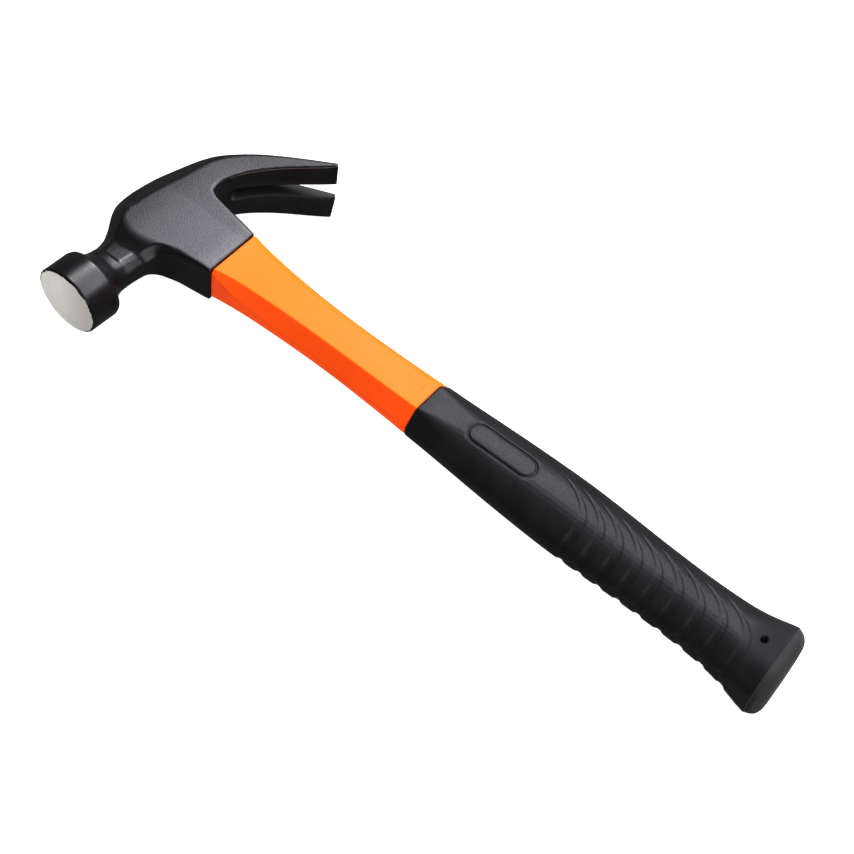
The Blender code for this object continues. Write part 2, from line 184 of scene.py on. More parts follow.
OUTLINE_STEPS = 6
HEAD_STEP = 0.5
LEAST_SLOPE = 0.2  # keeps a point from being thrown far where a distance is nearly level
HEAD_LOW = (-20.0, -60.0, -18.0)
HEAD_HIGH = (40.0, 61.0, 18.0)


def spline(knots, steps):
    """Catmull-Rom points through the knots, whatever each knot holds."""
    knots = [np.array(knot, float) for knot in knots]
    padded = [knots[0], *knots, knots[-1]]
    points = []
    for p0, p1, p2, p3 in zip(padded, padded[1:], padded[2:], padded[3:]):
        for step in range(steps):
            t = step / steps
            points.append(
                0.5
                * (
                    2 * p1
                    + (p2 - p0) * t
                    + (2 * p0 - 5 * p1 + 4 * p2 - p3) * t**2
                    + (3 * p1 - p0 - 3 * p2 + p3) * t**3
                )
            )
    return np.array([*points, knots[-1]])


def smooth_step(t):
    t = np.clip(t, 0.0, 1.0)
    return t * t * (3 - 2 * t)


def either(a, b, radius):
    """The union of two solids given as signed distances, with a fillet."""
    near = np.maximum(radius - np.abs(a - b), 0.0)
    return np.minimum(a, b) - near * near / (4 * radius)


def both(a, b, radius):
    """What two solids have in common, with the edge between them rounded."""
    return -either(-a, -b, radius)


def outline_distance(x, y, outline):
    """Signed distance to a closed outline, and the outline's third value at the nearest point."""
    nearest = np.full(np.broadcast(x, y).shape, np.inf)
    value = np.zeros(nearest.shape)
    inside = np.zeros(nearest.shape, bool)
    for a, b in zip(outline, np.roll(outline, -1, axis=0)):
        edge = b - a
        along = ((x - a[0]) * edge[0] + (y - a[1]) * edge[1]) / (edge[0] ** 2 + edge[1] ** 2)
        along = np.clip(along, 0.0, 1.0)
        apart = (x - a[0] - along * edge[0]) ** 2 + (y - a[1] - along * edge[1]) ** 2
        closer = apart < nearest
        nearest = np.where(closer, apart, nearest)
        value = np.where(closer, a[2] + along * edge[2], value)
        if a[1] != b[1]:
            crosses = (a[1] > y) != (b[1] > y)
            inside ^= crosses & (x < a[0] + (y - a[1]) * edge[0] / edge[1])
    return np.where(inside, -1.0, 1.0) * np.sqrt(nearest), value


HEAD_OUTLINE = np.vstack([spline(side, OUTLINE_STEPS) for side in (CROWN, UNDERSIDE, SOCKET)])
POLL_OUTLINE = np.array([(radius, y, 0.0) for radius, y in POLL_PROFILE])


def half_thickness(x, y, z):
    """Half the head's thickness: neck, slope up to the cheeks, then the flare of the claws."""
    cheek_end = CHEEK_END_Y + CHEEK_END_CURVE * np.minimum(x, CHEEK_CORNER_X) ** 2
    cheek_end = cheek_end + CHEEK_CORNER_SLOPE * np.clip(x - CHEEK_CORNER_X, 0.0, CHEEK_CORNER_LENGTH)
    rise = smooth_step((y - cheek_end) / NECK_SLOPE + 1.0)
    half = NECK_HALF + (CHEEK_HALF - NECK_HALF) * rise
    tip = np.where(z > 0, NEAR_CLAW_HALF, FAR_CLAW_HALF)
    flare = np.clip((y - FLARE_START_Y) / (CLAW_TIP_Y - FLARE_START_Y), 0.0, FLARE_LIMIT)
    mouth = MOUTH_TAPER * np.maximum(x - MOUTH_TAPER_X, 0.0) ** 2
    mouth = mouth * smooth_step((MOUTH_TAPER_END_Y - y) / MOUTH_TAPER_FADE)
    crown = CROWN_TAPER * np.maximum(CROWN_TAPER_X - x, 0.0) ** 2
    power = np.where(z > 0, NEAR_FLARE_POWER, FAR_FLARE_POWER)
    return half + (tip - CHEEK_HALF) * flare**power - mouth - crown


def forging(x, y, z):
    """The bevelled plate from which the neck, cheeks and claws are forged."""
    side, bevel = outline_distance(x, y, HEAD_OUTLINE)
    cheek = np.abs(z) - half_thickness(x, y, z)
    leg = bevel * (BEVEL_DROP + NECK_BEVEL_DROP * smooth_step((NECK_BEVEL_Y - y) / NECK_BLEND))
    slant = (cheek * bevel + (side + bevel) * leg) / np.hypot(bevel, leg)
    edge = EDGE_ROUND * (1.0 + smooth_step((NECK_ROUND_Y - y) / NECK_BLEND))
    rake = np.where(z > 0, NEAR_TIP_RAKE, FAR_TIP_RAKE) * np.maximum(np.abs(z) - SLOT_TIP_HALF, 0.0)
    tip = (x + y) / math.sqrt(2) - CLAW_TIP_REACH + rake
    return both(both(both(cheek, side, edge), slant, edge), tip, EDGE_ROUND)


def poll(x, y, z):
    lean = BELL_LEAN * np.clip((y - FACE_Y) / BELL_LENGTH, 0.0, 1.0)
    radius = np.hypot(x - lean * (1.0 - smooth_step((y - FACE_Y - BELL_LENGTH) / BELL_LEAN_FADE)), z)
    distance, _ = outline_distance(radius, y, POLL_OUTLINE)
    dome = FACE_Y + FACE_DOME * (radius / FACE_RADIUS) ** 2 - y
    return both(distance, dome, POLL_ROUND)


def nail_slot(x, y, z):
    run = math.dist(SLOT_ROOT, SLOT_TIP)
    along_x = (SLOT_TIP[0] - SLOT_ROOT[0]) / run
    along_y = (SLOT_TIP[1] - SLOT_ROOT[1]) / run
    s = (x - SLOT_ROOT[0]) * along_x + (y - SLOT_ROOT[1]) * along_y
    below = (x - SLOT_ROOT[0]) * along_y - (y - SLOT_ROOT[1]) * along_x
    half = SLOT_ROOT_HALF + (SLOT_TIP_HALF - SLOT_ROOT_HALF) * np.maximum(s, 0.0) / run
    half = half + SLOT_BEVEL * np.clip(below, -SLOT_BEVEL_REACH, SLOT_BEVEL_REACH)
    slot = (np.hypot(np.minimum(s, 0.0), z) - half) / math.hypot(1.0, SLOT_BEVEL)
    return both(slot, below - SLOT_REACH, EDGE_ROUND)


def eye(x, y, z):
    stations = np.array(EYE_STATIONS)
    half_y = np.interp(x, stations[:, 0], stations[:, 1]) - EYE_RADIUS
    half_z = np.interp(x, stations[:, 0], stations[:, 2]) - EYE_RADIUS
    out_y = np.abs(y) - half_y
    out_z = np.abs(z) - half_z
    outside = np.hypot(np.maximum(out_y, 0.0), np.maximum(out_z, 0.0))
    return outside + np.minimum(np.maximum(out_y, out_z), 0.0) - EYE_RADIUS


def head(x, y, z):
    """Signed distance to the hammer head: below zero in the steel."""
    solid = either(forging(x, y, z), poll(x, y, z), POLL_FILLET)
    solid = both(solid, -nail_slot(x, y, z), SLOT_ROUND)
    return both(solid, -eye(x, y, z), EDGE_ROUND)


def epoxy(x, y, z):
    """Signed distance to the epoxy that fills the eye round the rod, just below the crown."""
    side, _ = outline_distance(x, y, HEAD_OUTLINE)
    filled = both(eye(x, y, z) + EPOXY_GAP, side + EPOXY_SINK, EPOXY_ROUND)
    filled = both(filled, x - EPOXY_END_X, EPOXY_ROUND)
    rod = both(np.hypot(y, z) - ROD_HOLE_RADIUS, ROD_HOLE_START_X - x, EPOXY_ROUND)
    return both(filled, -rod, ROD_HOLE_ROUND)


def surface(solid, low, high, step):
    """Quads over the zero level of a solid's signed distance, one point per crossed cell."""
    axes = [np.arange(a, b + step, step) for a, b in zip(low, high)]
    shape = tuple(len(axis) for axis in axes)
    values = np.broadcast_to(
        solid(axes[0][:, None, None], axes[1][None, :, None], axes[2][None, None, :]), shape
    )
    inside = values < 0
    cells = tuple(n - 1 for n in shape)
    total = np.zeros(cells + (3,))
    count = np.zeros(cells)
    corners = [(i, j, k) for i in (0, 1) for j in (0, 1) for k in (0, 1)]

    def corner(array, offset):
        return array[tuple(slice(o, o + n) for o, n in zip(offset, cells))]

    for first in corners:
        for axis in range(3):
            if first[axis]:
                continue
            second = tuple(o + (a == axis) for a, o in enumerate(first))
            start, end = corner(values, first), corner(values, second)
            crossed = corner(inside, first) != corner(inside, second)
            share = np.divide(start, start - end, out=np.zeros(cells), where=crossed)
            for a in range(3):
                total[..., a] += np.where(crossed, first[a] + (share if a == axis else 0.0), 0.0)
            count += crossed
    used = count > 0
    index = np.full(cells, -1)
    index[used] = np.arange(used.sum())
    where = np.argwhere(used)
    points = (where + total[used] / count[used][:, None]) * step + np.array(low)
    quads = []
    for axis in range(3):
        u, v = (axis + 1) % 3, (axis + 2) % 3
        before = np.take(inside, range(shape[axis] - 1), axis)
        after = np.take(inside, range(1, shape[axis]), axis)
        for flip, crossed in ((False, before & ~after), (True, after & ~before)):
            at = np.argwhere(crossed)
            at = at[(at[:, u] > 0) & (at[:, v] > 0) & (at[:, u] < cells[u]) & (at[:, v] < cells[v])]
            around = []
            for du, dv in ((1, 1), (0, 1), (0, 0), (1, 0)):
                cell = at.copy()
                cell[:, u] -= du
                cell[:, v] -= dv
                around.append(index[cell[:, 0], cell[:, 1], cell[:, 2]])
            ring = np.stack(around, axis=1)
            quads.append(ring[:, ::-1] if flip else ring)
    return settle(solid, points, step), np.vstack(quads).tolist()


def settle(solid, points, step, rounds=4):
    """Move points onto the solid's surface, along its gradient."""
    nudge = 0.05 * step
    for _ in range(rounds):
        gradient = np.empty_like(points)
        for axis in range(3):
            offset = np.zeros(3)
            offset[axis] = nudge
            ahead, behind = (points + offset).T, (points - offset).T
            gradient[:, axis] = (solid(*ahead) - solid(*behind)) / (2 * nudge)
        size = np.maximum((gradient**2).sum(axis=1), LEAST_SLOPE)
        move = (solid(*points.T) / size)[:, None] * gradient
        points = points - np.clip(move, -0.5 * step, 0.5 * step)
    return points


def placed(name, points, faces):
    """A smooth mesh object in the row frame, riding on the hammer."""
    mesh = bpy.data.meshes.new(name)
    mesh.from_pydata((np.asarray(points) * MM + ORIGIN).tolist(), [], faces)
    mesh.shade_smooth()
    mesh.update()
    thing = bpy.data.objects.new(name, mesh)
    bpy.context.scene.collection.objects.link(thing)
    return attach(thing, "root")


# Jacket and grip sections: x, half width, half thickness, half width of the flat side,
# half height of the narrow edge, and the radii that round the narrow edge's corners and
# the flat side's.
SPIGOT_START_X = 26.3
SPIGOT_SECTION = (9.2, 6.3, 7.6, 4.7, 2.7, 2.7)
JACKET_SECTIONS = [
    (34.3, 12.8, 8.6, 11.4, 7.2, 1.0, 1.0),
    (38.0, 12.9, 8.4, 10.2, 6.0, 1.0, 1.0),
    (44.0, 13.1, 8.2, 9.0, 4.2, 1.1, 1.1),
    (52.0, 13.1, 8.1, 8.3, 2.6, 1.1, 1.1),
    (62.0, 12.8, 8.1, 7.6, 1.8, 1.1, 1.1),
    (75.0, 12.3, 8.1, 7.1, 1.5, 1.1, 1.1),
    (92.0, 12.0, 8.1, 6.9, 1.4, 1.1, 1.1),
    (110.0, 12.3, 8.2, 6.9, 1.4, 1.1, 1.1),
    (133.2, 13.0, 8.6, 6.9, 1.6, 1.1, 1.1),
]
TAIL_SECTION = (9.6, 7.0, 5.4, 1.6, 1.0, 1.0)
JACKET_END_X = 284.0
ROD_BORE_RADIUS = 4.8
ROD_BORE_END_X = 276.3
COLLAR_ENDS = ((34.3, 37.6), (129.2, 133.2))
COLLAR_HEIGHT = 0.08
COLLAR_LEAD = 0.5
COLLAR_EDGE = 0.8
COLLAR_SPACING = 0.2
SHAFT_SPACING = 1.2

GRIP_START_X = 133.5
BUTT_X = 301.1
GRIP_SECTIONS = [
    (133.5, 12.9, 9.0, 7.1, 1.8, 1.4, 1.4),
    (134.4, 13.2, 9.3, 7.1, 1.9, 1.6, 1.8),
    (138.0, 13.4, 9.6, 7.2, 2.0, 2.6, 3.6),
    (142.0, 13.5, 9.8, 7.2, 2.2, 4.0, 6.0),
    (152.0, 13.9, 10.4, 7.3, 2.7, 6.2, 11.0),
    (164.0, 14.4, 11.1, 7.5, 3.3, 8.0, 13.5),
    (180.0, 15.0, 11.7, 7.6, 4.0, 9.5, 14.5),
    (200.0, 15.5, 12.0, 7.4, 4.5, 9.8, 15.0),
    (218.0, 15.2, 11.8, 7.2, 4.5, 9.8, 15.0),
    (236.0, 14.4, 11.6, 7.0, 4.5, 9.6, 14.6),
    (255.0, 13.9, 11.7, 6.9, 4.6, 9.4, 14.0),
    (268.0, 14.0, 12.1, 7.1, 4.9, 9.4, 13.8),
    (278.0, 14.6, 12.8, 7.6, 5.3, 9.4, 13.0),
    (286.0, 15.9, 13.7, 8.6, 6.0, 9.2, 11.0),
    (292.0, 17.1, 14.6, 9.8, 6.6, 9.0, 9.6),
    (295.4, 17.5, 15.1, 10.4, 7.0, 9.0, 9.0),
    (296.2, 17.3, 14.9, 10.3, 6.9, 8.9, 8.9),
    (298.4, 16.6, 13.9, 9.6, 6.4, 8.0, 8.0),
    (300.0, 15.3, 12.1, 8.8, 5.6, 6.6, 6.6),
    (300.9, 13.4, 9.9, 7.8, 4.6, 5.2, 5.2),
    (BUTT_X, 12.0, 8.4, 7.2, 4.0, 4.4, 4.4),
]
BORE_GAP = 0.3
HANDLE_BOW = [
    (26.0, 0.0),
    (40.0, -0.5),
    (70.0, -0.45),
    (100.0, -0.1),
    (133.0, 0.1),
    (180.0, 0.15),
    (230.0, 0.3),
    (270.0, 0.4),
    (300.0, 0.15),
]
BUTT_CURVE_START_X = 282.0
BUTT_HALF_Y = 17.0
BUTT_SLANT = 2.2
BUTT_CAP_RINGS = (0.8, 0.5, 0.2)

# Blank panel in both flanks of the grip
PANEL_X = 169.4
PANEL_Y = -0.4
PANEL_REACH = 10.7
PANEL_RADIUS = 4.4
PANEL_GROOVE_DEPTH = 0.8
PANEL_GROOVE_HALF = 0.42
PANEL_SINK = 0.12
PANEL_SHOULDER = 1.7
PANEL_SHOULDER_DEPTH = 0.35

# Crescent grooves: each runs across the front edge, then sweeps back along both flanks
CRESCENT_COUNT = 9
CRESCENT_FIRST_X = 210.5
CRESCENT_PITCH = 8.2
CRESCENT_STRETCH = 0.12
CRESCENT_SWEEP = 14.5
CRESCENT_SWEEP_POWER = 3.2
CRESCENT_SWEEP_START_Y = -12.0
CRESCENT_SWEEP_WIDTH = 18.0
CRESCENT_WRAP = 2.3
CRESCENT_WRAP_Z = 7.5
CRESCENT_HALF = 1.6
CRESCENT_HALF_TAPER_Y = 9.0
CRESCENT_DEPTH = 0.28
CRESCENT_EDGE = 0.35
CRESCENT_FADE_Y = 4.5
CRESCENT_FADE = 4.0
NOTCH_DEPTH = 0.6
NOTCH_EDGE = 0.85
NOTCH_END_Y = -8.0
NOTCH_FADE = 5.0
FLANK_Z = 6.0  # only the grip's flanks lie further than this from the middle plane

HOLE_X = 287.8
HOLE_Y = -0.1
HOLE_RADIUS = 1.3
HOLE_EDGE = 0.3
HOLE_DEPTH = 2.5

SECTION_STEPS = 12
CORNER_STEPS = 6
SIDE_STEPS = (6, 8, 6, 4, 6, 8, 6, 4)
GRIP_AROUND = 256


def rings(sections):
    """Points and outward normals (y, z) round rounded eight-sided sections, one row each."""
    sizes = np.asarray(sections, float)
    half_y, half_z, flat, nose = sizes.T[:4, :, None]
    radii = sizes[:, [4, 5, 5, 4, 4, 5, 5, 4]]
    quarter = [(half_y, nose), (flat, half_z), (-flat, half_z), (-half_y, nose)]
    corners = [np.hstack(corner) for corner in quarter]
    corners = np.stack(corners + [-corner for corner in corners], axis=1)
    leaving = np.roll(corners, -1, axis=1) - corners
    leaving /= np.linalg.norm(leaving, axis=2)[:, :, None]
    arriving = np.roll(leaving, 1, axis=1)
    turn = np.arccos(np.clip((arriving * leaving).sum(axis=2), -1.0, 1.0))
    first = np.arctan2(-arriving[:, :, 0], arriving[:, :, 1])
    reach = radii * np.tan(turn / 2)
    inward = np.stack([-arriving[:, :, 1], arriving[:, :, 0]], axis=2)
    centres = corners - arriving * reach[:, :, None] + inward * radii[:, :, None]
    points, normals = [], []
    for i, side_steps in enumerate(SIDE_STEPS):
        for step in range(CORNER_STEPS + 1):
            angle = first[:, i] + turn[:, i] * step / CORNER_STEPS
            spoke = np.stack([np.cos(angle), np.sin(angle)], axis=1)
            points.append(centres[:, i] + radii[:, i, None] * spoke)
            normals.append(spoke)
        j = (i + 1) % 8
        start_angle = first[:, j]
        spoke = np.stack([np.cos(start_angle), np.sin(start_angle)], axis=1)
        target = centres[:, j] + radii[:, j, None] * spoke
        start = points[-1]
        for step in range(1, side_steps):
            points.append(start + (target - start) * step / side_steps)
            normals.append(spoke)
    return np.stack(points, axis=1), np.stack(normals, axis=1)


def evened(points, normals, around):
    """The same rings with their points an equal distance apart."""
    even_points, even_normals = [], []
    for ring, normal in zip(points, normals):
        ring = np.vstack([ring, ring[:1]])
        normal = np.vstack([normal, normal[:1]])
        run = np.concatenate([[0.0], np.cumsum(np.linalg.norm(np.diff(ring, axis=0), axis=1))])
        at = np.linspace(0.0, run[-1], around, endpoint=False)
        even_points.append(np.column_stack([np.interp(at, run, ring[:, i]) for i in (0, 1)]))
        spokes = np.column_stack([np.interp(at, run, normal[:, i]) for i in (0, 1)])
        even_normals.append(spokes / np.linalg.norm(spokes, axis=1)[:, None])
    return np.array(even_points), np.array(even_normals)


def resampled(sections, stations):
    """Sections at the given x, on a smooth curve through the ones listed."""
    x, *sizes = spline(sections, SECTION_STEPS).T
    return np.stack([np.interp(stations, x, size) for size in sizes], axis=1)


def bow(x):
    """The slight curve of the handle: how far its middle line lies off the plane y = 0."""
    knots = np.array(HANDLE_BOW)
    return np.interp(x, knots[:, 0], knots[:, 1])


def ring_block(stations, sections, depth=None, around=None):
    """Points (ring, round, 3) of a length of handle, drawn in by depth(x, y, z)."""
    flat_points, normals = rings(sections)
    if around:
        flat_points, normals = evened(flat_points, normals, around)
    x = np.broadcast_to(np.asarray(stations, float)[:, None], flat_points.shape[:2])
    if depth is not None:
        drawn = depth(x, flat_points[:, :, 0], flat_points[:, :, 1])
        flat_points = flat_points - normals * drawn[:, :, None]
    return np.dstack([x, flat_points[:, :, 0] + bow(x), flat_points[:, :, 1]])


def sleeve(name, block):
    """A closed solid through rows of rings, with a fan over each end."""
    count, around = block.shape[:2]
    points = block.reshape(-1, 3)
    index = np.arange(count * around).reshape(count, around)
    ahead = np.roll(index, -1, axis=1)
    quads = np.stack([index[:-1], ahead[:-1], ahead[1:], index[1:]], axis=2).reshape(-1, 4)
    faces = quads.tolist()
    for row, outward in ((0, False), (count - 1, True)):
        hub = len(points)
        points = np.vstack([points, block[row].mean(axis=0)])
        for near, far in zip(index[row], ahead[row]):
            faces.append((hub, near, far) if outward else (hub, far, near))
    return placed(name, points, faces)


def collar(x, y, z):
    raised = np.zeros_like(x)
    for start, end in COLLAR_ENDS:
        inside = np.minimum(x - start + COLLAR_LEAD, end - x)
        raised = np.maximum(raised, smooth_step(inside / COLLAR_EDGE))
    return -COLLAR_HEIGHT * raised


def handle_jacket():
    """Spigot in the mouth, flared shoulder, flat-sided shaft, tail, and the rod's bore."""
    (shaft_start, plain_start), (plain_end, shaft_end) = COLLAR_ENDS
    lengths = [
        np.arange(shaft_start, plain_start + COLLAR_SPACING / 4, COLLAR_SPACING),
        np.arange(plain_start, plain_end, SHAFT_SPACING),
        np.arange(plain_end, shaft_end + COLLAR_SPACING / 4, COLLAR_SPACING),
    ]
    stations = np.unique(np.round(np.concatenate(lengths), 3))
    shaft = ring_block(stations, resampled(JACKET_SECTIONS, stations), collar)
    spigot = ring_block((SPIGOT_START_X, shaft_start), [SPIGOT_SECTION] * 2)
    tail = ring_block((shaft_end, JACKET_END_X), [TAIL_SECTION] * 2)
    spokes = spigot[0, :, 1:] / np.linalg.norm(spigot[0, :, 1:], axis=1)[:, None]
    bore = [
        np.column_stack([np.full(len(spokes), x), spokes * ROD_BORE_RADIUS])
        for x in (ROD_BORE_END_X, SPIGOT_START_X)
    ]
    return sleeve("handle_jacket_visual", np.concatenate([bore, spigot, shaft, tail]))


def crescent_depth(x, y, z):
    """How far the crescents draw the grip's surface in."""
    back = np.clip((y - CRESCENT_SWEEP_START_Y) / CRESCENT_SWEEP_WIDTH, 0.0, 2.0)
    sweep = CRESCENT_SWEEP * back**CRESCENT_SWEEP_POWER
    wrap = CRESCENT_WRAP * np.clip(1.0 - np.abs(z) / CRESCENT_WRAP_Z, 0.0, 1.0) ** 2
    along = x + sweep + np.where(y < 0, wrap, 0.0)
    nearest = np.full(x.shape, np.inf)
    for k in range(CRESCENT_COUNT):
        middle = CRESCENT_FIRST_X + CRESCENT_PITCH * k + CRESCENT_STRETCH * k * k
        nearest = np.minimum(nearest, np.abs(along - middle))
    front = smooth_step((NOTCH_END_Y - y) / NOTCH_FADE)
    half = CRESCENT_HALF * (1.0 - 0.5 * smooth_step(y / CRESCENT_HALF_TAPER_Y))
    edge = CRESCENT_EDGE + (NOTCH_EDGE - CRESCENT_EDGE) * front
    band = 1.0 - smooth_step((nearest - half + edge) / (2 * edge))
    fade = 1.0 - smooth_step((y - CRESCENT_FADE_Y) / CRESCENT_FADE)
    return band * fade * (CRESCENT_DEPTH + (NOTCH_DEPTH - CRESCENT_DEPTH) * front)


def panel_depth(x, y, z):
    """The groove round the blank panel, its sunk floor, and the shoulders at its ends."""
    over = np.maximum(np.abs(x - PANEL_X) - PANEL_REACH, 0.0)
    out = np.hypot(over, y - PANEL_Y) - PANEL_RADIUS
    groove = PANEL_GROOVE_DEPTH * np.exp(-((out / PANEL_GROOVE_HALF) ** 2))
    floor = PANEL_SINK * (1.0 - smooth_step((out + PANEL_GROOVE_HALF) / PANEL_GROOVE_HALF))
    end = smooth_step(over / PANEL_RADIUS)
    shoulder = PANEL_SHOULDER_DEPTH * end * (1.0 - np.clip(out / PANEL_SHOULDER, 0.0, 1.0))
    depth = np.maximum(groove, np.maximum(floor, np.where(out > 0, shoulder, 0.0)))
    return np.where(np.abs(z) > FLANK_Z, depth, 0.0)


def hole_depth(x, y, z):
    out = np.hypot(x - HOLE_X, y - HOLE_Y) - HOLE_RADIUS
    return np.where(z > FLANK_Z, HOLE_DEPTH * (1.0 - smooth_step(out / HOLE_EDGE)), 0.0)


def grip_depth(x, y, z):
    pressed = np.maximum(crescent_depth(x, y, z), panel_depth(x, y, z))
    return np.maximum(pressed, hole_depth(x, y, z))


def grip_stations():
    """Rings close together where the surface has detail."""
    lengths = [
        (GRIP_START_X, 137.0, 0.25),
        (137.0, 151.0, 1.0),
        (151.0, 189.0, 0.3),
        (189.0, 284.0, 0.45),
        (284.0, 290.0, 0.22),
        (290.0, 294.8, 0.3),
        (294.8, 297.2, 0.1),
        (297.2, BUTT_X, 0.25),
    ]
    stations = np.concatenate([*(np.arange(*length) for length in lengths), [BUTT_X]])
    return np.unique(np.round(stations, 3))


def rubber_grip():
    stations = grip_stations()
    sections = resampled(GRIP_SECTIONS, stations)
    outer = ring_block(stations, sections, grip_depth, GRIP_AROUND)
    last = outer[-1]
    middle = last.mean(axis=0)
    caps = [middle + (last - middle) * share for share in BUTT_CAP_RINGS]
    outside = np.concatenate([outer, caps])
    bend = smooth_step((outside[:, :, 0] - BUTT_CURVE_START_X) / (BUTT_X - BUTT_CURVE_START_X))
    outside[:, :, 0] -= BUTT_SLANT * bend * (outside[:, :, 1] + BUTT_HALF_Y) / (2 * BUTT_HALF_Y)
    half_y, half_z, flat, nose, radius, flat_radius = TAIL_SECTION
    bore = (
        half_y + BORE_GAP,
        half_z + BORE_GAP,
        flat + BORE_GAP / 2,
        nose + BORE_GAP / 2,
        radius + BORE_GAP,
        flat_radius + BORE_GAP,
    )
    bore_x = (JACKET_END_X + BORE_GAP, GRIP_START_X)
    inner = ring_block(bore_x, [bore] * 2, around=GRIP_AROUND)
    return sleeve("rubber_grip_visual", np.concatenate([inner, outside]))


class Look:
    """A Principled material whose patterns are laid out in the drawing frame, in millimetres."""

    def __init__(self, name, **sockets):
        self.material = bpy.data.materials.new(name)
        self.material.use_nodes = True
        self.nodes = self.material.node_tree.nodes
        self.shader = self.nodes["Principled BSDF"]
        for socket, value in sockets.items():
            self.shader.inputs[socket.replace("_", " ")].default_value = value
        where = self.nodes.new("ShaderNodeTexCoord")
        self.normal = self.parts(where.outputs["Normal"])
        shifted = self.vector("SUBTRACT", where.outputs["Object"], tuple(ORIGIN))
        self.place = self.vector("SCALE", shifted, scale=1 / MM)
        self.axes = self.parts(self.place)

    def wire(self, node, index, value):
        """Link a socket's value in, or set a plain one."""
        if isinstance(value, bpy.types.NodeSocket):
            self.material.node_tree.links.new(value, node.inputs[index])
        elif value is not None:
            node.inputs[index].default_value = value

    def set(self, socket, value):
        self.wire(self.shader, socket, value)

    def vector(self, operation, a, b=None, scale=None):
        node = self.nodes.new("ShaderNodeVectorMath")
        node.operation = operation
        self.wire(node, 0, a)
        self.wire(node, 1, b)
        self.wire(node, "Scale", scale)
        return node.outputs[0]

    def parts(self, value):
        node = self.nodes.new("ShaderNodeSeparateXYZ")
        self.wire(node, 0, value)
        return list(node.outputs)

    def math(self, operation, a, b=None):
        node = self.nodes.new("ShaderNodeMath")
        node.operation = operation
        self.wire(node, 0, a)
        self.wire(node, 1, b)
        return node.outputs[0]

    def ramp(self, value, start, end, low=0.0, high=1.0):
        """A smooth rise from low to high as the value goes from start to end."""
        node = self.nodes.new("ShaderNodeMapRange")
        node.interpolation_type = "SMOOTHSTEP"
        for index, each in enumerate((value, start, end, low, high)):
            self.wire(node, index, each)
        return node.outputs[0]

    def noise(self, scale, detail=2.0, roughness=0.5, stretch=(1.0, 1.0, 1.0)):
        node = self.nodes.new("ShaderNodeTexNoise")
        self.wire(node, "Vector", self.vector("MULTIPLY", self.place, stretch))
        self.wire(node, "Scale", scale)
        self.wire(node, "Detail", detail)
        self.wire(node, "Roughness", roughness)
        return node.outputs["Fac"]

    def mix(self, share, a, b):
        """Colours a and b, by share of b."""
        node = self.nodes.new("ShaderNodeMix")
        node.data_type = "RGBA"
        self.wire(node, 0, share)
        self.wire(node, 6, a)
        self.wire(node, 7, b)
        return node.outputs[2]

    def blend(self, share, a, b):
        """Numbers a and b, by share of b."""
        node = self.nodes.new("ShaderNodeMix")
        self.wire(node, 0, share)
        self.wire(node, 2, a)
        self.wire(node, 3, b)
        return node.outputs[0]

    def bump(self, height, distance):
        """Relief of that height in millimetres, where the pattern goes from 0 to 1."""
        node = self.nodes.new("ShaderNodeBump")
        node.inputs["Distance"].default_value = distance * MM
        self.wire(node, "Height", height)
        self.set("Normal", node.outputs[0])


LACQUER_TINT = (0.92, 0.92, 1.0, 1.0)
MATT_LACQUER = (0.028, 0.028, 0.033, 1.0)
GROUND_STEEL = (0.94, 0.90, 0.85, 1.0)
SCRATCHED_STEEL = (0.98, 0.94, 0.89, 1.0)
SHADED_STEEL = (0.6, 0.56, 0.5, 1.0)
GROUND_RADIUS = 14.0
GROUND_RAGGED = 1.6  # how far the lacquer's edge strays round the striking face
GROUND_DEPTH = 0.6
FORGED_Z = (7.0, 8.5)
FORGED_Y = (-24.0, -20.0)
# Painted shade and light on the cheeks' dull lacquer: it fades out towards the claw tips, and is
# painted lighter towards the mouth and darker towards the crown
CLAW_PAINTED_SHADE_Y = (44.0, 20.0)
CHEEK_PAINTED_LIGHT_X = (-14.0, 20.0)
BELL_DULL_Y = (-36.0, -46.0)
SLOT_WALL_Z = (6.5, 5.5)
SLOT_WALL_Y = (24.0, 28.0)


def grey(value):
    return (value, value, value * 1.02, 1.0)


